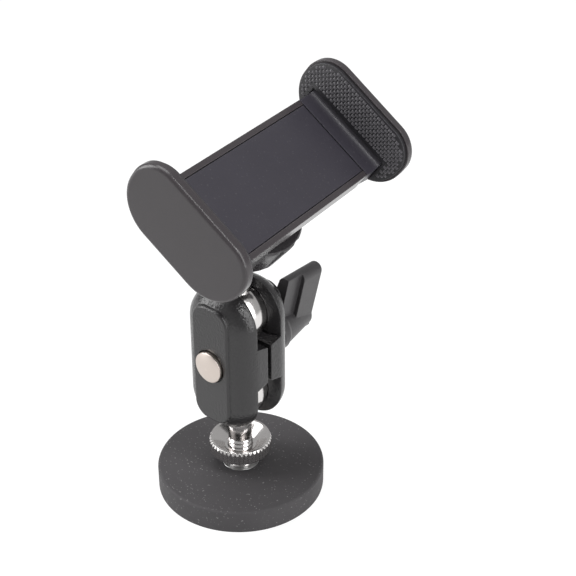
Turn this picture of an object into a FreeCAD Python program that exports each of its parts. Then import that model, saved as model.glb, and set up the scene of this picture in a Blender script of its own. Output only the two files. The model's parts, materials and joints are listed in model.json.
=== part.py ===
import FreeCAD, Part
import math
import os

Vec = FreeCAD.Vector
Place = FreeCAD.Placement
Turn = FreeCAD.Rotation

X_AXIS = Vec(1, 0, 0)
Y_AXIS = Vec(0, 1, 0)
Z_AXIS = Vec(0, 0, 1)

# Rubber coated magnet base
base_diameter = 43.0
base_height = 6.0
base_edge_round = 0.7
rubber_bottom = 0.8
rubber_top = 1.0
rubber_side = 1.2
steel_plate_thickness = 1.9
magnet_diameter = 8.0
magnet_count = 8
magnet_circle_radius = 13.6
insert_body_diameter = 9.5
insert_flange_diameter = 13.0
insert_flange_thickness = 1.1

# Thread shared by the ball studs, the insert, the lock nut and the clip ball
thread_diameter = 6.35
thread_clearance = 0.05

# Ball studs
ball_diameter = 15.0
ball_flat_diameter = 4.0
stem_diameter = 6.1
stem_reach = 15.4
stud_thread_length = 11.8
seam_width = 0.35
seam_depth = 0.35
thread_chamfer = 0.5
lower_ball_height = 29.4

# Knurled lock nut
nut_diameter = 16.0
nut_bottom = 9.8
nut_height = 3.8
nut_chamfer = 0.6
nut_web = 1.3
nut_rim = 0.9
nut_tooth_count = 44
nut_tooth_depth = 0.4

# Two-shell arm
ball_spacing = 21.3
arm_half_width = 10.3
arm_half_length = 19.5
arm_corner_radius = 9.6
shell_gap = 1.3
shell_depth = 9.4
shell_edge_round = 5.8
panel_half_width = 5.7
panel_half_length = 16.1
panel_corner_radius = 4.2
panel_rise = 0.6
panel_edge_round = 0.55
socket_clearance = 0.1
mouth_clearance = 0.25
mouth_flare = 0.28
mouth_inward = 4.6
mouth_ramp = 1.0

# Clamp bolt, spring and washer
bolt_diameter = 4.0
bolt_clearance = 0.15
bolt_head_diameter = 8.0
bolt_head_rim = 1.8
bolt_head_dome = 0.7
counterbore_depth = 0.9
counterbore_clearance = 0.35
neck_square = 4.4
neck_length = 2.4
neck_clearance = 0.1
spring_wire = 0.5
spring_wire_sides = 4
spring_mean_diameter = 5.0
spring_turns = 4
spring_pocket_depth = 2.6
spring_pocket_clearance = 0.15
washer_diameter = 9.6
washer_thickness = 0.8
washer_recess = 0.4
washer_recess_clearance = 0.3

# Lever knob
knob_turn_deg = 13.0
knob_hub_diameter = 11.8
knob_hub_rim = 2.6
knob_running_gap = 0.1
knob_shoulder_diameter = 11.0
knob_shoulder_place = 3.5
knob_cap_diameter = 7.4
knob_cap_edge = 0.3
knob_depth = 13.8
ear_right_side = 3.5
ear_left_root = 3.2
ear_root_drop = 2.0
ear_tip_radius = 2.0
ear_tip_place = 15.3
ear_front = 6.6
ear_edge_round = 0.8
web_front = 1.5
web_inset = 1.2
insert_across_flats = 7.0
insert_length = 4.0
bolt_past_insert = 2.6
bolt_tip_gap = 0.6

# Seventeen millimetre ball on the upper stud
clip_ball_reach = 25.7
clip_ball_neck_diameter = 8.0
clip_ball_seat = 0.2
upper_stud_lean_deg = 3.2

# Phone clip
clip_tilt_deg = 37.9
clip_spin_deg = 5.9
gap_past_plate = 5.1
jaw_length = 32.9
jaw_tip = 11.1
jaw_foot = 7.5
jaw_tip_radius = 7.4
jaw_foot_radius = 9.6
jaw_thickness = 2.3
jaw_outer_round = 0.9
pad_thickness = 0.8
pad_margin = 1.5
pad_above_plate = 1.4
plate_width = 23.7
plate_length = 52.5
housing_depth = 6.8
housing_wall = 1.5
housing_floor = 1.2
housing_edge_round = 1.4
cover_thickness = 1.2
cover_gap = 0.12
cover_edge_round = 0.3
rail_width = 1.35
slide_clearance = 0.15

# Sliding jaw
tongue_thickness = 1.95
tongue_start = 12.0
tongue_side_clearance = 0.35
plate_past_travel = 24.5
foot_gap = 0.5
foot_depth = 6.2
foot_rise = 1.3
post_diameter = 3.4
post_clearance = 0.3
post_offset = 6.5
post_near = 8.0
post_from_end = 8.5
lug_place = 23.5
lug_diameter = 1.4
anchor_place = 3.4
jaw_spring_diameter = 2.3
jaw_spring_wire = 0.45
jaw_spring_end_wall = 0.6
jaw_spring_offset = 2.2

# Housing screws
screw_diameter = 2.0
screw_head_diameter = 3.6
screw_head_height = 1.2
screw_reach = 3.6
screw_slot_width = 0.6
screw_slot_depth = 0.6

# Ball socket and lock ring on the back of the clip
socket_before_post = 14.1
socket_floor = 2.7
boss_step = 0.7
boss_before_ball = 6.6
cup_wall = 2.2
cup_wrap = 2.5
finger_count = 6
finger_slot = 1.4
slot_before_ball = 4.4
ring_diameter = 26.6
ring_wall = 2.45
ring_gap = 0.3
ring_past_ball = 4.2
ring_taper = 0.5
ring_end_round = 2.2
ring_clearance = 0.15
ring_mouth_step = 1.0
ring_lip = 1.0
scallop_count = 14
scallop_radius = 2.4
scallop_depth = 0.8
scallop_before_ball = 4.7

# Places worked out from the sizes above
upper_ball_height = lower_ball_height + ball_spacing
arm_centre_height = lower_ball_height + ball_spacing / 2
ball_radius = ball_diameter / 2
thread_radius = thread_diameter / 2
shell_inner = shell_gap / 2
panel_face = shell_depth + panel_rise
washer_seat = panel_face - washer_recess
knob_base = washer_seat + washer_thickness + knob_running_gap
bolt_seat = panel_face - counterbore_depth
cup_diameter = ring_diameter - 2 * (ring_wall + ring_clearance)
clip_ball_diameter = cup_diameter - 2 * cup_wall
boss_diameter = cup_diameter + 2 * boss_step
ring_mouth_diameter = cup_diameter - 2 * ring_mouth_step
clip_ball_depth = housing_depth + socket_floor + clip_ball_diameter / 2
boss_end = clip_ball_depth - boss_before_ball
finger_slot_start = clip_ball_depth - slot_before_ball
ring_start = boss_end + ring_gap
ring_end = clip_ball_depth + ring_past_ball
scallop_start = clip_ball_depth - scallop_before_ball
post_far = plate_length - post_from_end
jaw_travel = plate_length - plate_past_travel
post_slot_start = post_far - jaw_travel
socket_place = post_far - socket_before_post
clip_gap_closed = plate_length + gap_past_plate
foot_start = plate_length + foot_gap
tongue_top = -cover_thickness - slide_clearance
tongue_bottom = tongue_top - tongue_thickness
channel_half = plate_width / 2 - housing_wall
channel_floor = -housing_depth + housing_floor


def disc(radius, bottom, top):
    return Part.makeCylinder(radius, top - bottom, Vec(0, 0, bottom))


def block(x_low, x_high, y_low, y_high, z_low, z_high):
    size = (x_high - x_low, y_high - y_low, z_high - z_low)
    return Part.makeBox(size[0], size[1], size[2], Vec(x_low, y_low, z_low))


def lathe(points):
    corners = [Vec(radius, 0, height) for radius, height in points]
    outline = Part.makePolygon(corners + [corners[0]])
    return Part.Face(outline).revolve(Vec(0, 0, 0), Z_AXIS, 360)


def corner_arc(centre_x, centre_y, radius, start_deg):
    points = []
    for step in (0, 45, 90):
        angle = math.radians(start_deg + step)
        points.append(Vec(centre_x + radius * math.cos(angle), centre_y + radius * math.sin(angle), 0))
    return Part.Arc(*points).toShape()


def rounded_face(x_low, x_high, y_low, y_high, low_radius, high_radius):
    arcs = [
        corner_arc(x_high - low_radius, y_low + low_radius, low_radius, -90),
        corner_arc(x_high - high_radius, y_high - high_radius, high_radius, 0),
        corner_arc(x_low + high_radius, y_high - high_radius, high_radius, 90),
        corner_arc(x_low + low_radius, y_low + low_radius, low_radius, 180),
    ]
    edges = []
    for index, arc in enumerate(arcs):
        edges.append(arc)
        begin = arc.Vertexes[-1].Point
        end = arcs[(index + 1) % len(arcs)].Vertexes[0].Point
        if begin.distanceToPoint(end) > 0.001:
            edges.append(Part.LineSegment(begin, end).toShape())
    return Part.Face(Part.Wire(edges))


def slab(face, bottom, top):
    raised = face.copy()
    raised.translate(Vec(0, 0, bottom))
    return raised.extrude(Vec(0, 0, top - bottom))


def edges_at(shape, test):
    return [edge for edge in shape.Edges if all(test(vertex.Point) for vertex in edge.Vertexes)]


def placed(shape, place):
    moved = shape.copy()
    moved.Placement = place.multiply(moved.Placement)
    return moved


def around(shape, count):
    return [placed(shape, Place(Vec(0, 0, 0), Turn(Z_AXIS, 360.0 * index / count))) for index in range(count)]


def joined(shapes):
    whole = shapes[0]
    if len(shapes) > 1:
        whole = whole.multiFuse(shapes[1:])
    return whole.removeSplitter()


# Magnet base

magnet_top = base_height - rubber_top - steel_plate_thickness
plate_radius = base_diameter / 2 - rubber_side
insert_bore = thread_radius + thread_clearance


def ring_magnets():
    magnet = disc(magnet_diameter / 2, rubber_bottom, magnet_top)
    magnet.translate(Vec(magnet_circle_radius, 0, 0))
    return Part.makeCompound(around(magnet, magnet_count))


def steel_plate():
    plate = disc(plate_radius, magnet_top, base_height - rubber_top)
    return plate.cut(disc(insert_body_diameter / 2, 0, base_height))


def insert_envelope():
    flange = disc(insert_flange_diameter / 2, magnet_top - insert_flange_thickness, magnet_top)
    body = disc(insert_body_diameter / 2, magnet_top - insert_flange_thickness, base_height)
    return joined([flange, body])


def threaded_insert():
    bore = disc(insert_bore, rubber_bottom, base_height + 1)
    return insert_envelope().cut(bore)


def rubber_coat():
    coat = disc(base_diameter / 2, 0, base_height)
    coat = coat.makeFillet(base_edge_round, edges_at(coat, lambda point: True)[:2])
    inside = disc(plate_radius, magnet_top, base_height - rubber_top)
    pocket = disc(magnet_diameter / 2, rubber_bottom, magnet_top)
    pocket.translate(Vec(magnet_circle_radius, 0, 0))
    bore = disc(insert_bore, magnet_top - insert_flange_thickness, magnet_top)
    cutters = [inside, insert_envelope(), bore] + around(pocket, magnet_count)
    return coat.cut(cutters)


# Ball stud with its ball at the origin and its thread pointing down

def ball_stud():
    end = -stem_reach - stud_thread_length
    flat_height = math.sqrt(ball_radius ** 2 - (ball_flat_diameter / 2) ** 2)
    ball = Part.makeSphere(ball_radius).common(disc(ball_radius, -ball_radius, flat_height))
    shank = lathe([
        (0, end),
        (thread_radius - thread_chamfer, end),
        (thread_radius, end + thread_chamfer),
        (thread_radius, -stem_reach - seam_width),
        (stem_diameter / 2 - seam_depth, -stem_reach - seam_width),
        (stem_diameter / 2 - seam_depth, -stem_reach),
        (stem_diameter / 2, -stem_reach),
        (stem_diameter / 2, 0),
        (0, 0),
    ])
    return joined([ball, shank])


lower_stud_place = Place(Vec(0, 0, lower_ball_height), Turn())
upper_ball_place = Place(Vec(0, 0, upper_ball_height), Turn(Y_AXIS, upper_stud_lean_deg))
upper_stud_place = upper_ball_place.multiply(Place(Vec(0, 0, 0), Turn(Y_AXIS, 180)))


def clip_ball():
    neck = disc(clip_ball_neck_diameter / 2, stem_reach + clip_ball_seat, clip_ball_reach)
    ball = Part.makeSphere(clip_ball_diameter / 2, Vec(0, 0, clip_ball_reach))
    bore = disc(insert_bore, 0, stem_reach + stud_thread_length + clip_ball_seat)
    return placed(joined([ball, neck]).cut(bore), upper_ball_place)


# Knurled lock nut with a dished top

def knurl_face():
    crest = nut_diameter / 2
    points = []
    for index in range(nut_tooth_count):
        for part, radius in ((0.0, crest - nut_tooth_depth), (0.35, crest), (0.65, crest)):
            angle = 2 * math.pi * (index + part) / nut_tooth_count
            points.append(Vec(radius * math.cos(angle), radius * math.sin(angle), 0))
    return Part.Face(Part.makePolygon(points + [points[0]]))


def knurled_lock_nut():
    radius = nut_diameter / 2
    top = nut_bottom + nut_height
    dish_radius = radius - nut_rim
    hub = stem_diameter / 2 + nut_rim
    body = lathe([
        (insert_bore, nut_bottom),
        (radius - nut_chamfer, nut_bottom),
        (radius, nut_bottom + nut_chamfer),
        (radius, top - nut_chamfer),
        (radius - nut_chamfer / 2, top),
        (dish_radius, top),
        (hub, nut_bottom + nut_web),
        (insert_bore, nut_bottom + nut_web),
    ])
    return body.common(slab(knurl_face(), nut_bottom, top))


# Arm shells, drawn flat with the bolt at the origin and depth as Z

def along_arm(distance):
    return Place(Vec(0, distance, 0), Turn())


def mouth_cutter():
    reach = arm_half_width + 2
    slot = stem_diameter / 2 + mouth_clearance
    flare_start = ball_radius - 0.7
    rim = slot + mouth_flare * (reach - flare_start)
    below = -1
    profile = [
        Vec(0, 0, below),
        Vec(reach, 0, below),
        Vec(reach, 0, rim),
        Vec(flare_start, 0, slot),
        Vec(0, 0, slot),
    ]
    half = Part.Face(Part.makePolygon(profile + [profile[0]]))
    fan = half.revolve(Vec(0, 0, 0), Z_AXIS, 180)
    other = half.mirror(Vec(0, 0, 0), X_AXIS)
    straight = [face.extrude(Vec(0, -mouth_inward, 0)) for face in (half, other)]
    ramp_points = [
        Vec(0, -mouth_inward, below),
        Vec(0, -mouth_inward, rim),
        Vec(0, -mouth_inward - mouth_ramp * (shell_inner - below) / (rim - shell_inner) - mouth_ramp, below),
    ]
    ramp = Part.Face(Part.makePolygon(ramp_points + [ramp_points[0]]))
    ramp = ramp.extrude(Vec(2 * reach, 0, 0))
    ramp.translate(Vec(-reach, 0, 0))
    return joined([fan, ramp] + straight)


def shell_blank():
    outline = rounded_face(
        -arm_half_width, arm_half_width, -arm_half_length, arm_half_length,
        arm_corner_radius, arm_corner_radius)
    shell = slab(outline, shell_inner, shell_depth)
    outer_edges = edges_at(shell, lambda point: point.z > shell_depth - 0.01)
    shell = shell.makeFillet(shell_edge_round, outer_edges)
    panel_outline = rounded_face(
        -panel_half_width, panel_half_width, -panel_half_length, panel_half_length,
        panel_corner_radius, panel_corner_radius)
    panel = slab(panel_outline, shell_depth - shell_edge_round, panel_face)
    panel = panel.makeFillet(panel_edge_round, edges_at(panel, lambda point: point.z > panel_face - 0.01))
    return joined([shell, panel])


def arm_shell(own_cuts):
    socket = Part.makeSphere(ball_radius + socket_clearance)
    mouth = mouth_cutter()
    far_turn = Place(Vec(0, 0, 0), Turn(Z_AXIS, 180))
    near = along_arm(ball_spacing / 2)
    cutters = [placed(socket, near), placed(mouth, near)]
    cutters += [placed(cutter, far_turn) for cutter in list(cutters)]
    cutters.append(disc(bolt_diameter / 2 + bolt_clearance, 0, panel_face + 1))
    pocket_radius = (spring_mean_diameter + spring_wire) / 2 + spring_pocket_clearance
    cutters.append(disc(pocket_radius, 0, shell_inner + spring_pocket_depth))
    return shell_blank().cut(cutters + own_cuts)


arm_front = Place(Vec(0, 0, arm_centre_height), Turn(X_AXIS, 90))
arm_rear = Place(Vec(0, 0, arm_centre_height), Turn(Z_AXIS, 180).multiply(Turn(X_AXIS, 90)))


def square_neck(clearance, bottom, top):
    half = neck_square / 2 + clearance
    return block(-half, half, -half, half, bottom, top)


def arm_front_shell():
    counterbore = disc(bolt_head_diameter / 2 + counterbore_clearance, bolt_seat, panel_face + 1)
    neck = square_neck(neck_clearance, bolt_seat - neck_length, bolt_seat + 0.5)
    return placed(arm_shell([counterbore, neck]), arm_front)


def arm_rear_shell():
    recess = disc(washer_diameter / 2 + washer_recess_clearance, washer_seat, panel_face + 1)
    return placed(arm_shell([recess]), arm_rear)


def clamp_bolt():
    rim_top = bolt_seat + bolt_head_rim
    rim_radius = bolt_head_diameter / 2
    head = disc(rim_radius, bolt_seat, rim_top)
    dome_radius = (rim_radius ** 2 + bolt_head_dome ** 2) / (2 * bolt_head_dome)
    dome = Part.makeSphere(dome_radius, Vec(0, 0, rim_top + bolt_head_dome - dome_radius))
    head = joined([head, dome.common(disc(rim_radius, rim_top - 0.2, rim_top + dome_radius))])
    neck = square_neck(0, bolt_seat - neck_length, bolt_seat)
    tip = knob_base + insert_length + bolt_past_insert
    shank = disc(bolt_diameter / 2, -tip, bolt_seat)
    return placed(joined([head, neck, shank]), arm_front)


def opening_spring():
    half = shell_inner + spring_pocket_depth - spring_wire / 2
    pitch = 2 * half / spring_turns
    radius = spring_mean_diameter / 2
    path = Part.Wire(Part.makeLongHelix(pitch, 2 * half, radius).Edges)
    corners = []
    for index in range(spring_wire_sides):
        angle = 2 * math.pi * index / spring_wire_sides
        corners.append(Vec(radius + spring_wire / 2 * math.cos(angle), 0, spring_wire / 2 * math.sin(angle)))
    coil = path.makePipeShell([Part.makePolygon(corners + [corners[0]])], True, True)
    coil.translate(Vec(0, 0, -half))
    return placed(coil, arm_rear)


def knob_washer():
    washer = disc(washer_diameter / 2, washer_seat, washer_seat + washer_thickness)
    return placed(washer.cut(disc(bolt_diameter / 2 + bolt_clearance, 0, panel_face + 2)), arm_rear)


# Lever knob, drawn with the bolt as Z and its ear along Y

knob_place = Place(Vec(0, 0, 0), Turn(Y_AXIS, knob_turn_deg))


def on_knob(shape):
    lifted = placed(shape, Place(Vec(0, 0, 0), Turn(Z_AXIS, 180).multiply(Turn(X_AXIS, 90))))
    return placed(placed(lifted, knob_place), Place(Vec(0, 0, arm_centre_height), Turn()))


def insert_hexagon():
    corner = insert_across_flats / math.sqrt(3)
    points = []
    for index in range(6):
        angle = math.radians(60 * index)
        points.append(Vec(corner * math.cos(angle), corner * math.sin(angle), 0))
    return slab(Part.Face(Part.makePolygon(points + [points[0]])), knob_base, knob_base + insert_length)


def knob_insert():
    bore = disc(bolt_diameter / 2 + thread_clearance, 0, knob_base + knob_depth)
    return on_knob(insert_hexagon().cut(bore))


def ear_point(across, along):
    return Vec(-across, along, 0)


def ear_face():
    tip_across = ear_right_side - ear_tip_radius
    right_root = ear_point(ear_right_side, -ear_root_drop)
    right_top = ear_point(ear_right_side, ear_tip_place)
    crown = ear_point(tip_across, ear_tip_place + ear_tip_radius)
    left_top = ear_point(tip_across - ear_tip_radius, ear_tip_place)
    left_root = ear_point(-ear_left_root, -ear_root_drop)
    edges = [
        Part.LineSegment(right_root, right_top).toShape(),
        Part.Arc(right_top, crown, left_top).toShape(),
        Part.LineSegment(left_top, left_root).toShape(),
        Part.LineSegment(left_root, right_root).toShape(),
    ]
    return Part.Face(Part.Wire(edges))


def knob_ear(front, top):
    rib = slab(ear_face(), front, top)
    rib = rib.makeFillet(ear_edge_round, edges_at(rib, lambda point: point.z > top - 0.01))
    web_start = knob_base + web_front
    inner_sides = block(
        web_inset - ear_right_side, ear_left_root - web_inset,
        -ear_root_drop, ear_tip_place + 2 * ear_tip_radius, web_start, front)
    return joined([rib, slab(ear_face(), web_start, front).common(inner_sides)])


def wing_knob():
    hub_radius = knob_hub_diameter / 2
    cap_radius = knob_cap_diameter / 2
    top = knob_base + knob_depth
    hub = lathe([
        (0, knob_base),
        (hub_radius - ear_edge_round, knob_base),
        (hub_radius, knob_base + ear_edge_round),
        (hub_radius, knob_base + knob_hub_rim),
        (knob_shoulder_diameter / 2, knob_base + knob_shoulder_place),
        (cap_radius, top - knob_cap_edge),
        (cap_radius - knob_cap_edge, top),
        (0, top),
    ])
    bolt_end = knob_base + insert_length + bolt_past_insert + bolt_tip_gap
    bolt_hole = disc(bolt_diameter / 2 + bolt_clearance, 0, bolt_end)
    return on_knob(joined([hub, knob_ear(knob_base + ear_front, top)]).cut([insert_hexagon(), bolt_hole]))


# Phone clip, drawn with the slide along X, the jaw length along Y and the phone side up

clip_turn = Turn(Y_AXIS, clip_tilt_deg).multiply(Turn(Z_AXIS, 90 + clip_spin_deg))
clip_ball_centre = upper_ball_place.multVec(Vec(0, 0, clip_ball_reach))
clip_place = Place(clip_ball_centre - clip_turn.multVec(Vec(socket_place, 0, -clip_ball_depth)), clip_turn)
across_slide = Place(Vec(0, 0, 0), Turn(Vec(1, 1, 1), 120))
socket_axis = Place(Vec(socket_place, 0, 0), Turn())


def on_clip(shape):
    return placed(shape, clip_place)


def jaw_slab(start, end, margin, low):
    top = jaw_tip - margin
    top_radius = jaw_tip_radius - margin
    low_radius = min(jaw_foot_radius - margin, top - low - top_radius)
    face = rounded_face(
        -jaw_length / 2 + margin, jaw_length / 2 - margin, low, top, low_radius, top_radius)
    return placed(slab(face, start, end), across_slide)


def jaw_plate(start, end, outer):
    face = rounded_face(-jaw_length / 2, jaw_length / 2, -jaw_foot, jaw_tip, jaw_foot_radius, jaw_tip_radius)
    plate = placed(slab(face, start, end), across_slide)
    return plate.makeFillet(jaw_outer_round, edges_at(plate, lambda point: abs(point.x - outer) < 0.01))


def posts(radius, bottom, top, places):
    shapes = []
    for place in places:
        for side in (-1, 1):
            post = disc(radius, bottom, top)
            post.translate(Vec(place, side * post_offset, 0))
            shapes.append(post)
    return shapes


def spring_posts(place, bottom, top):
    shapes = []
    for side in (-1, 1):
        post = disc(lug_diameter / 2, bottom, top)
        post.translate(Vec(place, side * jaw_spring_offset, 0))
        shapes.append(post)
    return shapes


def socket_cup():
    cup_radius = cup_diameter / 2
    end = -clip_ball_depth - cup_wrap
    inner = clip_ball_diameter / 2 + socket_clearance
    cup = lathe([
        (0, -housing_depth + 0.5),
        (boss_diameter / 2, -housing_depth + 0.5),
        (boss_diameter / 2, -boss_end + 0.6),
        (boss_diameter / 2 - 0.6, -boss_end),
        (cup_radius, -boss_end),
        (cup_radius, -clip_ball_depth + 1),
        (cup_radius - 0.9, end),
        (0, end),
    ])
    slot = block(0, cup_radius + 1, -finger_slot / 2, finger_slot / 2, end - 1, -finger_slot_start)
    cutters = [Part.makeSphere(inner, Vec(0, 0, -clip_ball_depth))] + around(slot, finger_count)
    return placed(cup.cut(cutters), socket_axis)


def clip_body():
    half = plate_width / 2
    start = -pad_thickness
    housing = block(start, plate_length, -half, half, -housing_depth, 0)
    low_edges = edges_at(housing, lambda point: point.z < -housing_depth + 0.01)
    long_edges = [edge for edge in low_edges if edge.Length > plate_length / 2]
    housing = housing.makeFillet(housing_edge_round, long_edges)
    channel = block(housing_wall, plate_length + 1, -channel_half, channel_half, channel_floor, 0)
    cover_half = half - housing_wall + cover_gap
    seat = block(0, plate_length + 1, -cover_half, cover_half, -cover_thickness, 1)
    rails = []
    rail_top = tongue_bottom - slide_clearance
    for side in (-1, 1):
        low, high = sorted((side * channel_half, side * (channel_half - rail_width)))
        rails.append(block(housing_wall, plate_length, low, high, channel_floor, rail_top))
    jaw = jaw_plate(-pad_thickness - jaw_thickness, -pad_thickness, -pad_thickness - jaw_thickness)
    anchors = spring_posts(anchor_place, channel_floor - 0.2, tongue_bottom - slide_clearance)
    hollow = housing.cut([channel, seat])
    screw_holes = posts(screw_diameter / 2, -housing_depth - 1, channel_floor + 1, (post_near, post_far))
    return on_clip(joined([hollow, jaw, socket_cup()] + rails + anchors).cut(screw_holes))


def front_plate():
    half = plate_width / 2 - housing_wall
    plate = block(cover_gap, plate_length, -half, half, -cover_thickness, 0)
    top_edges = edges_at(plate, lambda point: point.z > -0.01)
    plate = plate.makeFillet(cover_edge_round, top_edges)
    supports = posts(post_diameter / 2, channel_floor, -cover_thickness, (post_near, post_far))
    holes = posts(screw_diameter / 2, channel_floor - 1, channel_floor + screw_reach, (post_near, post_far))
    return on_clip(joined([plate] + supports).cut(holes))


def back_screws():
    screws = []
    for place in (post_near, post_far):
        for side in (-1, 1):
            head = disc(screw_head_diameter / 2, -housing_depth - screw_head_height, -housing_depth)
            shank = disc(screw_diameter / 2, -housing_depth, channel_floor + screw_reach)
            screw = joined([head, shank])
            for turn in (0, 90):
                reach = screw_head_diameter / 3
                slot = block(
                    -reach, reach, -screw_slot_width / 2, screw_slot_width / 2,
                    -housing_depth - screw_head_height - 1,
                    -housing_depth - screw_head_height + screw_slot_depth)
                screw = screw.cut(placed(slot, Place(Vec(0, 0, 0), Turn(Z_AXIS, turn))))
            screw.translate(Vec(place, side * post_offset, 0))
            screws.append(screw)
    return on_clip(Part.makeCompound(screws))


def fixed_jaw_pad():
    return on_clip(jaw_slab(-pad_thickness, 0, pad_margin, pad_above_plate))


def moving_jaw_pad():
    return on_clip(jaw_slab(clip_gap_closed, clip_gap_closed + pad_thickness, pad_margin, pad_above_plate))


def moving_jaw_foot():
    face_place = clip_gap_closed + pad_thickness
    half = channel_half - tongue_side_clearance
    low = Vec(foot_start, 0, tongue_bottom - 0.6)
    start = Vec(foot_start, 0, tongue_top)
    end = Vec(face_place, 0, foot_rise)
    middle = Vec(face_place - 1.6, 0, tongue_top + 0.5)
    edges = [
        Part.LineSegment(low, start).toShape(),
        Part.Arc(start, middle, end).toShape(),
        Part.LineSegment(end, Vec(face_place, 0, -foot_depth)).toShape(),
        Part.LineSegment(Vec(face_place, 0, -foot_depth), low).toShape(),
    ]
    foot = Part.Face(Part.Wire(edges)).extrude(Vec(0, 2 * half, 0))
    foot.translate(Vec(0, -half, 0))
    return foot


def moving_jaw():
    face_place = clip_gap_closed + pad_thickness
    outer = face_place + jaw_thickness
    half = channel_half - tongue_side_clearance
    jaw = jaw_plate(face_place, outer, outer)
    tongue = block(tongue_start, face_place, -half, half, tongue_bottom, tongue_top)
    slot_half = post_diameter / 2 + post_clearance
    slots = []
    for side in (-1, 1):
        slot = rounded_face(
            post_slot_start - slot_half, post_far + slot_half,
            side * post_offset - slot_half, side * post_offset + slot_half,
            slot_half - 0.01, slot_half - 0.01)
        slots.append(slab(slot, tongue_bottom - 1, tongue_top + 1))
    lugs = spring_posts(lug_place, channel_floor + slide_clearance, tongue_bottom + 0.2)
    return on_clip(joined([jaw, tongue.cut(slots), moving_jaw_foot()] + lugs))


def jaw_springs():
    radius = jaw_spring_diameter / 2
    height = (channel_floor + tongue_bottom) / 2
    eye_inner = lug_diameter / 2 + 0.1
    eye_outer = eye_inner + jaw_spring_wire
    coil_start = anchor_place + eye_outer - 0.1
    coil_end = lug_place - eye_outer + 0.1
    springs = []
    for side in (-1, 1):
        place = Vec(coil_start, side * jaw_spring_offset, height)
        coil_length = coil_end - coil_start
        core_place = place + Vec(jaw_spring_end_wall, 0, 0)
        core_length = coil_length - 2 * jaw_spring_end_wall
        coil = Part.makeCylinder(radius, coil_length, place, X_AXIS)
        core = Part.makeCylinder(radius - jaw_spring_wire, core_length, core_place, X_AXIS)
        eyes = []
        for end in (anchor_place, lug_place):
            eye = disc(eye_outer, height - jaw_spring_wire / 2, height + jaw_spring_wire / 2)
            eye = eye.cut(disc(eye_inner, height - 1, height + 1))
            eye.translate(Vec(end, side * jaw_spring_offset, 0))
            eyes.append(eye)
        spring = joined([coil.cut(core)] + eyes)
        for end in (anchor_place, lug_place):
            hole = disc(eye_inner, height - radius - 1, height + radius + 1)
            hole.translate(Vec(end, side * jaw_spring_offset, 0))
            spring = spring.cut(hole)
        springs.append(spring)
    return on_clip(Part.makeCompound(springs))


def clip_lock_ring():
    radius = ring_diameter / 2
    inner = cup_diameter / 2 + ring_clearance
    ring = lathe([
        (inner, -ring_start),
        (radius - 0.4, -ring_start),
        (radius, -ring_start - 0.4),
        (radius, -scallop_start),
        (radius - ring_taper, -ring_end + ring_end_round),
        (radius - ring_taper - ring_end_round * 0.3, -ring_end + ring_end_round * 0.3),
        (radius - ring_taper - ring_end_round, -ring_end),
        (ring_mouth_diameter / 2, -ring_end),
        (ring_mouth_diameter / 2, -ring_end + ring_lip),
        (inner, -clip_ball_depth + 1),
    ])
    cutter = disc(scallop_radius, -ring_end - 1, -scallop_start)
    cutter = cutter.fuse(Part.makeSphere(scallop_radius, Vec(0, 0, -scallop_start)))
    cutter.translate(Vec(radius + scallop_radius - scallop_depth, 0, 0))
    return on_clip(placed(ring.cut(around(cutter, scallop_count)), socket_axis))


PARTS = {
    "rubber_coat": rubber_coat,
    "steel_plate": steel_plate,
    "ring_magnets": ring_magnets,
    "threaded_insert": threaded_insert,
    "lower_ball_stud": lambda: placed(ball_stud(), lower_stud_place),
    "knurled_lock_nut": knurled_lock_nut,
    "arm_front_shell": arm_front_shell,
    "arm_rear_shell": arm_rear_shell,
    "clamp_bolt": clamp_bolt,
    "opening_spring": opening_spring,
    "knob_washer": knob_washer,
    "wing_knob": wing_knob,
    "knob_insert": knob_insert,
    "upper_ball_stud": lambda: placed(ball_stud(), upper_stud_place),
    "clip_ball": clip_ball,
    "clip_lock_ring": clip_lock_ring,
    "clip_body": clip_body,
    "front_plate": front_plate,
    "back_screws": back_screws,
    "fixed_jaw_pad": fixed_jaw_pad,
    "moving_jaw": moving_jaw,
    "moving_jaw_pad": moving_jaw_pad,
    "jaw_springs": jaw_springs,
}

os.makedirs("parts", exist_ok=True)
for name, build in PARTS.items():
    shape = build()
    shape.exportStep(os.path.join("parts", name + ".step"))
    print(name, len(shape.Solids), round(shape.Volume, 2), shape.isValid())
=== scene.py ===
import json
import math

import bpy
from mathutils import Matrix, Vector


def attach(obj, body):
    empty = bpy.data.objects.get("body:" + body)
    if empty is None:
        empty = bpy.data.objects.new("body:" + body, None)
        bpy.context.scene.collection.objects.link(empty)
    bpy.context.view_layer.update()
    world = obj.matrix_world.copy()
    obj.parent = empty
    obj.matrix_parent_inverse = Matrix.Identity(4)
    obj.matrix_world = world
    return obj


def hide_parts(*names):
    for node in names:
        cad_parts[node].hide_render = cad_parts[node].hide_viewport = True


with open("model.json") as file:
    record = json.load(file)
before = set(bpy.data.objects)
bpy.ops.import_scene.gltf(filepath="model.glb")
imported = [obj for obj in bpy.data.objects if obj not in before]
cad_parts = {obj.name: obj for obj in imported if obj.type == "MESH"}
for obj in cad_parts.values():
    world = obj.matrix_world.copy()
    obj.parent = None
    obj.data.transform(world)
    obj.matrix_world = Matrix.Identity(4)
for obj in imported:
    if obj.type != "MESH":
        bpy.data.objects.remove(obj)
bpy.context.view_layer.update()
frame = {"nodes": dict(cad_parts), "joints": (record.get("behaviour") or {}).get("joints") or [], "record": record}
nodes = frame["nodes"]

MM = 0.001

# Camera solved from the photograph, in metres
CAMERA_PLACE = Vector((0.1739, -0.1847, 0.2049))
CAMERA_TARGET = Vector((0.00931, 0.00796, 0.05746))
CAMERA_LENS = 76.6
SENSOR_WIDTH = 36.0
CAMERA_NEAR = 10 * MM

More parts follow.
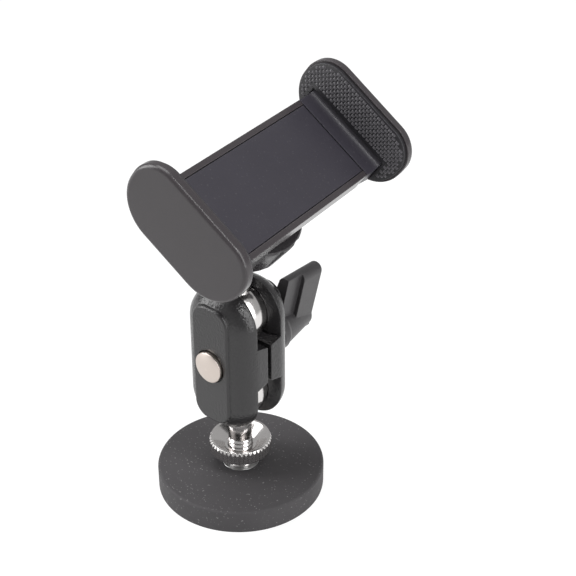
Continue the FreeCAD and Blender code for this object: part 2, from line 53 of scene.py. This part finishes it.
# Floor and world. Seen directly, a strength of 1 is white
FLOOR_SIZE = 6.0
FLOOR_DROP = 0.1 * MM
FLOOR_COLOUR = (0.95, 0.95, 0.95, 1.0)
FLOOR_GLOW = 1.1
FLOOR_GLOW_SHARE = 0.8
WORLD_LIGHT = 0.2
WORLD_SEEN = 1.0
WORLD_IN_GLOSS = 0.3
WHITE = (1.0, 1.0, 1.0, 1.0)

# Each light's place, size and power
LIGHTS = {
    "softbox_left": ((-0.45, -0.35, 0.3), (0.3, 0.6), 3.2),
    "softbox_right": ((0.5, 0.05, 0.25), (0.3, 0.6), 2.0),
    "softbox_top": ((-0.1, 0.0, 0.6), (0.45, 0.4), 2.1),
    "edge_strip": ((0.29, -0.04, 0.47), (0.06, 0.25), 0.5),
}

# What all finishes share: edges painted lighter as a painted highlight, patches of tone and gloss, and dust
EDGE_RADIUS = 0.4 * MM
EDGE_SAMPLES = 4
# Bend between the rounded and the true normal at which an edge's painted highlight is full, and at which it fades
# out
EDGE_FULL_HIGHLIGHT = 0.8
EDGE_NO_HIGHLIGHT = 0.99
# How many times lighter an edge is painted on plastic and on metal, as a painted highlight
HIGHLIGHT_PLASTIC = 4.0
HIGHLIGHT_METAL = 1.1
TONE_SCALE = 60.0
GLOSS_SCALE = 220.0
GLOSS_VARIATION = 0.12
GRAIN_DETAIL = 2.0
DUST_SCALE = 1800.0
DUST_DETAIL = 1.0
DUST_START = 0.68
DUST_FULL = 0.74
DUST_COLOUR = (0.45, 0.44, 0.43)

# Colour sockets of a Mix node, which has others of the same names
MIX_FIRST = 6
MIX_SECOND = 7
MIX_RESULT = 2

SHARP_ANGLE = math.radians(40)

# Lower ball stud
BALL_RADIUS = 7.5 * MM
BALL_FLAT_RADIUS = 2.0 * MM
STEM_RADIUS = 3.05 * MM
STEM_REACH = 15.4 * MM
SEAM_WIDTH = 0.35 * MM
SEAM_RADIUS = 2.7 * MM
THREAD_LENGTH = 11.8 * MM
THREAD_CREST = 3.175 * MM
THREAD_ROOT = 2.6 * MM
THREAD_PITCH = 1.27 * MM
ROUND_STEPS = 96
BALL_STEPS = 32
STEPS_PER_PITCH = 10

# Clip: how far its corner lies from its ball, and its gap when closed
SOCKET_PLACE = 29.9 * MM
BALL_DEPTH = 18.0 * MM
JAW_GAP = 57.6 * MM

# Jaw linings, with a notch that goes round the plate
PAD_HALF_LENGTH = 15.85 * MM
PAD_TOP = 10.5 * MM
PAD_FOOT = -6.9 * MM
PAD_TOP_CORNER = 6.8 * MM
PAD_FOOT_CORNER = 9.0 * MM
PAD_NOTCH_TOP = 1.4 * MM
PAD_NOTCH_HALF = 12.15 * MM
PAD_BORDER = 0.8 * MM
PAD_THICKNESS = 0.8 * MM
CORNER_STEPS = 16

# Wedges on the linings. A corner is across and up in halves of the wedge, and out in whole rises
WEDGE_PITCH = 1.25 * MM
WEDGE_ROW = 0.85 * MM
WEDGE_WIDTH = 0.95 * MM
WEDGE_DEPTH = 0.6 * MM
WEDGE_RISE = 0.3 * MM
WEDGE_CORNERS = ((-1, -1, 0), (1, -1, 0), (1, 1, 0), (-1, 1, 0), (-0.6, -0.7, 1), (0.6, -0.7, 1))
WEDGE_FACES = ((0, 1, 5, 4), (1, 2, 5), (2, 3, 4, 5), (3, 0, 4), (3, 2, 1, 0))

# Foot of the sliding jaw. A point is its place along the slide and its height over the plate
FOOT_HALF = 11.85 * MM
FOOT_PROFILE = tuple((place * MM, height * MM) for place, height in (
    (52.95, -4.0), (52.95, -0.25), (55.4, -0.22), (56.8, -0.05),
    (57.7, 0.35), (58.2, 0.85), (58.4, 1.35), (58.4, -6.25)))


# Finishes

class Shader:
    def __init__(self, name):
        self.material = bpy.data.materials.new(name)
        self.material.use_nodes = True
        self.tree = self.material.node_tree
        self.tree.nodes.clear()
        self.output = self.tree.nodes.new("ShaderNodeOutputMaterial")
        self.coordinates = self.tree.nodes.new("ShaderNodeTexCoord")

    def node(self, kind, **values):
        made = self.tree.nodes.new(kind)
        for key, value in values.items():
            setattr(made, key, value)
        return made

    def link(self, source, target):
        self.tree.links.new(source, target)

    def noise(self, scale, detail=3.0):
        made = self.node("ShaderNodeTexNoise")
        made.inputs["Scale"].default_value = scale
        made.inputs["Detail"].default_value = detail
        self.link(self.coordinates.outputs["Object"], made.inputs["Vector"])
        return made.outputs["Fac"]

    def spread(self, source, low, high, from_low=0.0, from_high=1.0):
        made = self.node("ShaderNodeMapRange")
        made.inputs["From Min"].default_value = from_low
        made.inputs["From Max"].default_value = from_high
        made.inputs["To Min"].default_value = low
        made.inputs["To Max"].default_value = high
        self.link(source, made.inputs["Value"])
        return made.outputs["Result"]

    def mix(self, factor, first, second):
        made = self.node("ShaderNodeMix", data_type="RGBA")
        self.link(factor, made.inputs["Factor"])
        for socket, value in ((MIX_FIRST, first), (MIX_SECOND, second)):
            if isinstance(value, tuple):
                made.inputs[socket].default_value = value + (1.0,)
            else:
                self.link(value, made.inputs[socket])
        return made.outputs[MIX_RESULT]

    def bump(self, height, strength, distance, base):
        made = self.node("ShaderNodeBump")
        made.inputs["Strength"].default_value = strength
        made.inputs["Distance"].default_value = distance
        self.link(height, made.inputs["Height"])
        self.link(base, made.inputs["Normal"])
        return made.outputs["Normal"]

    def rounded_edges(self):
        made = self.node("ShaderNodeBevel", samples=EDGE_SAMPLES)
        made.inputs["Radius"].default_value = EDGE_RADIUS
        return made.outputs["Normal"]

    # Mask of the rounded edges, where the colour is painted lighter as a painted highlight
    def edge_highlight_mask(self, rounded, highlight_share):
        geometry = self.node("ShaderNodeNewGeometry")
        bend = self.node("ShaderNodeVectorMath", operation="DOT_PRODUCT")
        self.link(rounded, bend.inputs[0])
        self.link(geometry.outputs["Normal"], bend.inputs[1])
        return self.spread(bend.outputs["Value"], highlight_share, 0.0, EDGE_FULL_HIGHLIGHT, EDGE_NO_HIGHLIGHT)


def scaled(colour, factor):
    return tuple(min(1.0, channel * factor) for channel in colour)


def surface(name, colour, roughness, metallic=0.0, grain=2500.0, relief=0.2, variation=0.15,
            edge_highlight=0.15, specks=0.0, depth=0.05 * MM):
    shader = Shader(name)
    principled = shader.node("ShaderNodeBsdfPrincipled")
    principled.inputs["Metallic"].default_value = metallic
    rounded = shader.rounded_edges()

    dark, light = scaled(colour, 1 - variation), scaled(colour, 1 + variation)
    tone = shader.mix(shader.noise(TONE_SCALE), dark, light)
    highlight_colour = scaled(colour, HIGHLIGHT_METAL if metallic else HIGHLIGHT_PLASTIC)
    # Edges are painted lighter here: a painted highlight along every rim
    tone = shader.mix(shader.edge_highlight_mask(rounded, edge_highlight), tone, highlight_colour)
    if specks > 0:
        dust = shader.noise(DUST_SCALE, DUST_DETAIL)
        tone = shader.mix(shader.spread(dust, 0.0, specks, DUST_START, DUST_FULL), tone, DUST_COLOUR)
    gloss = shader.spread(
        shader.noise(GLOSS_SCALE), roughness * (1 - GLOSS_VARIATION), roughness * (1 + GLOSS_VARIATION))
    grained = shader.bump(shader.noise(grain, GRAIN_DETAIL), relief, depth, rounded)

    shader.link(tone, principled.inputs["Base Color"])
    shader.link(gloss, principled.inputs["Roughness"])
    shader.link(grained, principled.inputs["Normal"])
    shader.link(principled.outputs["BSDF"], shader.output.inputs["Surface"])
    return shader.material


FINISHES = {
    "rubber": surface(
        "rubber", (0.05, 0.047, 0.05), 0.72, specks=0.3, grain=1600.0, relief=0.35, edge_highlight=0.2),
    "steel": surface("steel", (0.6, 0.6, 0.6), 0.35, metallic=1.0),
    "magnet": surface("magnet", (0.55, 0.55, 0.56), 0.3, metallic=1.0),
    "chrome": surface("chrome", (0.72, 0.7, 0.69), 0.15, metallic=1.0, relief=0.02, variation=0.02),
    "bolt_steel": surface("bolt_steel", (0.62, 0.55, 0.5), 0.32, metallic=1.0, relief=0.1, variation=0.05),
    "arm_plastic": surface(
        "arm_plastic", (0.021, 0.02, 0.021), 0.2,
        grain=1900.0, relief=1.0, edge_highlight=0.3, depth=0.12 * MM),
    "knob_plastic": surface(
        "knob_plastic", (0.039, 0.037, 0.039), 0.4,
        grain=1800.0, relief=0.4, edge_highlight=0.3, depth=0.1 * MM),
    "clip_plastic": surface(
        "clip_plastic", (0.04, 0.035, 0.038), 0.22, grain=2200.0, relief=0.22, edge_highlight=0.4),
    "pad_rubber": surface(
        "pad_rubber", (0.025, 0.024, 0.027), 0.36, grain=1200.0, relief=0.3, edge_highlight=0.4),
}

# Pieces that look different from the others of their slot. The plate gets a darker and rougher copy of the clip
# plastic; its darker colour is painted shade
PLATE_SHADED_FINISH = surface("plate_plastic_painted_shade", (0.027, 0.0245, 0.033), 0.4, grain=2600.0, relief=0.25, specks=0.05)
RING_FINISH = surface("ring_plastic", (0.03, 0.028, 0.03), 0.18, grain=900.0, relief=0.8, edge_highlight=0.9)
# A lighter copy of the pad rubber for the wedges, a painted highlight on their raised tops
WEDGE_HIGHLIGHT_FINISH = surface("wedge_rubber_painted_highlight", (0.066, 0.063, 0.069), 0.34, grain=1200.0, relief=0.3, edge_highlight=0.6)


def paint_nodes():
    for entry in frame["record"]["subparts"]:
        piece = nodes[entry["node"]]
        piece.data.materials.clear()
        piece.data.materials.append(FINISHES[entry["material_slot"]])
    # The plate's darker colour is painted shade
    nodes["front_plate"].data.materials[0] = PLATE_SHADED_FINISH
    nodes["clip_lock_ring"].data.materials[0] = RING_FINISH


# Added pieces

def joint(name):
    return next(entry for entry in frame["joints"] if entry["name"] == name)


def add_object(name, data):
    made = bpy.data.objects.new(name, data)
    bpy.context.scene.collection.objects.link(made)
    return made


def add_mesh(name, points, faces, body, slot_name):
    mesh = bpy.data.meshes.new(name)
    mesh.from_pydata(points, [], faces)
    mesh.update()
    piece = add_object(name, mesh)
    mesh.materials.append(FINISHES[slot_name])
    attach(piece, body)
    return piece


def smooth_between_edges(piece):
    piece.data.shade_smooth()
    piece.data.set_sharp_from_angle(angle=SHARP_ANGLE)


# Lower ball stud with its thread cut as a helix. A ring is its radius, its height and its thread's depth

def stud_rings(ball_height):
    flat = math.asin(BALL_FLAT_RADIUS / BALL_RADIUS)
    stem = math.pi - math.asin(STEM_RADIUS / BALL_RADIUS)
    rings = []
    for step in range(BALL_STEPS + 1):
        angle = flat + (stem - flat) * step / BALL_STEPS
        rings.append((BALL_RADIUS * math.sin(angle), ball_height + BALL_RADIUS * math.cos(angle), 0.0))
    seam = ball_height - STEM_REACH
    start = seam - SEAM_WIDTH
    rings += [(STEM_RADIUS, seam, 0.0), (SEAM_RADIUS, seam, 0.0), (SEAM_RADIUS, start, 0.0)]
    rows = int((THREAD_LENGTH - SEAM_WIDTH) / THREAD_PITCH * STEPS_PER_PITCH)
    for row in range(rows + 1):
        height = start - (THREAD_LENGTH - SEAM_WIDTH) * row / rows
        rings.append((THREAD_ROOT, height, THREAD_CREST - THREAD_ROOT))
    return rings


def threaded_stud():
    # the arm tilts about the ball's centre
    rings = stud_rings(joint("arm_tilt")["pos_m"][2])
    points, faces = [], []
    for radius, height, cut in rings:
        for step in range(ROUND_STEPS):
            turn = step / ROUND_STEPS
            phase = (height / THREAD_PITCH - turn) % 1.0
            local = radius + cut * (1 - abs(2 * phase - 1))
            angle = 2 * math.pi * turn
            points.append((local * math.cos(angle), local * math.sin(angle), height))
    for row in range(len(rings) - 1):
        low, high = row * ROUND_STEPS, (row + 1) * ROUND_STEPS
        for step in range(ROUND_STEPS):
            after = (step + 1) % ROUND_STEPS
            faces.append((low + step, high + step, high + after, low + after))
    faces.append(tuple(range(ROUND_STEPS)))
    faces.append(tuple(reversed(range(len(points) - ROUND_STEPS, len(points)))))
    stud = add_mesh("threaded_stud", points, faces, "lower_stud", "chrome")
    smooth_between_edges(stud)
    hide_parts("lower_ball_stud")


# The clip's corner and its directions: along the slide, across it, and out of the plate
CLIP_ALONG = Vector(joint("jaw_slide")["axis"])
CLIP_OUTWARD = Vector(joint("clip_spin")["axis"])
CLIP_ACROSS = CLIP_OUTWARD.cross(CLIP_ALONG)
CLIP_CORNER = Vector(joint("clip_spin")["pos_m"]) - CLIP_ALONG * SOCKET_PLACE + CLIP_OUTWARD * BALL_DEPTH


def clip_point(place, side, height):
    return tuple(CLIP_CORNER + CLIP_ALONG * place + CLIP_ACROSS * side + CLIP_OUTWARD * height)


def prism(outline):
    count = len(outline)
    faces = [tuple(reversed(range(count))), tuple(range(count, 2 * count))]
    for index in range(count):
        after = (index + 1) % count
        faces.append((index, after, count + after, count + index))
    return faces


# Jaw linings with raised wedges

def lining_outline():
    half = []
    for step in range(CORNER_STEPS + 1):
        angle = math.radians(90 - 90 * step / CORNER_STEPS)
        side = PAD_HALF_LENGTH - PAD_TOP_CORNER * (1 - math.cos(angle))
        half.append((side, PAD_TOP - PAD_TOP_CORNER * (1 - math.sin(angle))))
    leg = math.acos(1 - (PAD_HALF_LENGTH - PAD_NOTCH_HALF) / PAD_FOOT_CORNER)
    for step in range(CORNER_STEPS + 1):
        angle = leg * step / CORNER_STEPS
        side = PAD_HALF_LENGTH - PAD_FOOT_CORNER * (1 - math.cos(angle))
        half.append((side, PAD_FOOT + PAD_FOOT_CORNER * (1 - math.sin(angle))))
    half.append((PAD_NOTCH_HALF, PAD_NOTCH_TOP))
    return half + [(-side, height) for side, height in reversed(half)]


def wedge_fits(across, height):
    if height < PAD_NOTCH_TOP + PAD_BORDER and abs(across) < PAD_NOTCH_HALF + PAD_BORDER:
        return False
    for corner, past in (
            (PAD_TOP_CORNER, height - PAD_TOP + PAD_TOP_CORNER),
            (PAD_FOOT_CORNER, PAD_FOOT + PAD_FOOT_CORNER - height)):
        side = max(0.0, abs(across) - (PAD_HALF_LENGTH - corner))
        if past > 0 and math.hypot(side, past) > corner - PAD_BORDER:
            return False
    return abs(across) < PAD_HALF_LENGTH - PAD_BORDER


def wedge_middles():
    rows = int((PAD_TOP - PAD_FOOT) / WEDGE_ROW)
    columns = int(PAD_HALF_LENGTH / WEDGE_PITCH) + 1
    for row in range(rows + 1):
        height = PAD_FOOT + WEDGE_ROW * (row + 0.5)
        for column in range(-columns, columns + 1):
            across = (column + 0.5 * (row % 2)) * WEDGE_PITCH
            if wedge_fits(across, height):
                yield across, height


# facing is 1 where the lining looks along the slide and -1 where it looks back

def jaw_lining(name, node, body, place, facing):
    outline = lining_outline()
    points = []
    for depth in (0.0, PAD_THICKNESS):
        points += [clip_point(place - facing * depth, side, height) for side, height in outline]
    faces = prism(outline)
    plain_faces = len(faces)
    for across, height in wedge_middles():
        base = len(points)
        for side, rise, lift in WEDGE_CORNERS:
            points.append(clip_point(
                place + facing * WEDGE_RISE * lift,
                across + side * WEDGE_WIDTH / 2, height + rise * WEDGE_DEPTH / 2))
        faces += [tuple(base + index for index in face) for face in WEDGE_FACES]
    if facing < 0:
        faces = [tuple(reversed(face)) for face in faces]
    lining = add_mesh(name, points, faces, body, "pad_rubber")
    # The wedges take the lighter copy of the pad rubber, a painted highlight
    lining.data.materials.append(WEDGE_HIGHLIGHT_FINISH)
    for face in lining.data.polygons[plain_faces:]:
        face.material_index = 1
    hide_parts(node)


# Full-width foot between the plate and the sliding jaw

def jaw_foot():
    points = []
    for side in (FOOT_HALF, -FOOT_HALF):
        points += [clip_point(place, side, height) for place, height in FOOT_PROFILE]
    foot = add_mesh("jaw_foot", points, prism(FOOT_PROFILE), "slider", "clip_plastic")
    # The foot takes the plate's darker copy of the clip plastic, painted shade
    foot.data.materials[0] = PLATE_SHADED_FINISH
    smooth_between_edges(foot)


# Stage

def whitened_floor():
    shader = Shader("floor_white")
    diffuse = shader.node("ShaderNodeBsdfDiffuse")
    diffuse.inputs["Color"].default_value = FLOOR_COLOUR
    glow = shader.node("ShaderNodeEmission")
    glow.inputs["Color"].default_value = WHITE
    glow.inputs["Strength"].default_value = FLOOR_GLOW
    path = shader.node("ShaderNodeLightPath")
    seen = shader.node("ShaderNodeMath", operation="ADD")
    shader.link(path.outputs["Is Camera Ray"], seen.inputs[0])
    shader.link(path.outputs["Is Glossy Ray"], seen.inputs[1])
    mixed = shader.node("ShaderNodeMixShader")
    shader.link(shader.spread(seen.outputs["Value"], 0.0, FLOOR_GLOW_SHARE), mixed.inputs["Fac"])
    shader.link(diffuse.outputs["BSDF"], mixed.inputs[1])
    shader.link(glow.outputs["Emission"], mixed.inputs[2])
    shader.link(mixed.outputs["Shader"], shader.output.inputs["Surface"])
    return shader.material


def add_floor():
    bpy.ops.mesh.primitive_plane_add(size=FLOOR_SIZE, location=(0.0, 0.0, -FLOOR_DROP))
    floor = bpy.context.object
    floor.name = "floor"
    floor.data.materials.append(whitened_floor())


def add_world():
    world = bpy.data.worlds.new("studio")
    world.use_nodes = True
    tree = world.node_tree
    background = tree.nodes["Background"]
    background.inputs["Color"].default_value = WHITE
    path = tree.nodes.new("ShaderNodeLightPath")
    seen = tree.nodes.new("ShaderNodeMath")
    seen.operation = "MULTIPLY_ADD"
    seen.inputs[1].default_value = WORLD_IN_GLOSS
    tree.links.new(path.outputs["Is Glossy Ray"], seen.inputs[0])
    tree.links.new(path.outputs["Is Camera Ray"], seen.inputs[2])
    level = tree.nodes.new("ShaderNodeMapRange")
    level.inputs["To Min"].default_value = WORLD_LIGHT
    level.inputs["To Max"].default_value = WORLD_SEEN
    tree.links.new(seen.outputs["Value"], level.inputs["Value"])
    tree.links.new(level.outputs["Result"], background.inputs["Strength"])
    bpy.context.scene.world = world


def aim_at_target(item, place):
    item.location = place
    item.rotation_euler = (CAMERA_TARGET - Vector(place)).to_track_quat("-Z", "Y").to_euler()


def add_lights():
    for name, (place, size, power) in LIGHTS.items():
        data = bpy.data.lights.new(name, "AREA")
        data.shape = "RECTANGLE"
        data.size, data.size_y = size
        data.energy = power
        aim_at_target(add_object(name, data), place)


def add_camera():
    data = bpy.data.cameras.new("camera")
    data.lens = CAMERA_LENS
    data.sensor_width = SENSOR_WIDTH
    data.clip_start = CAMERA_NEAR
    camera = add_object("camera", data)
    aim_at_target(camera, CAMERA_PLACE)
    bpy.context.scene.camera = camera


paint_nodes()
threaded_stud()
jaw_lining("fixed_lining", "fixed_jaw_pad", "clip", 0.0, 1)
jaw_lining("moving_lining", "moving_jaw_pad", "slider", JAW_GAP, -1)
jaw_foot()
add_floor()
add_world()
add_lights()
add_camera()
bpy.context.scene.view_settings.view_transform = "Standard"
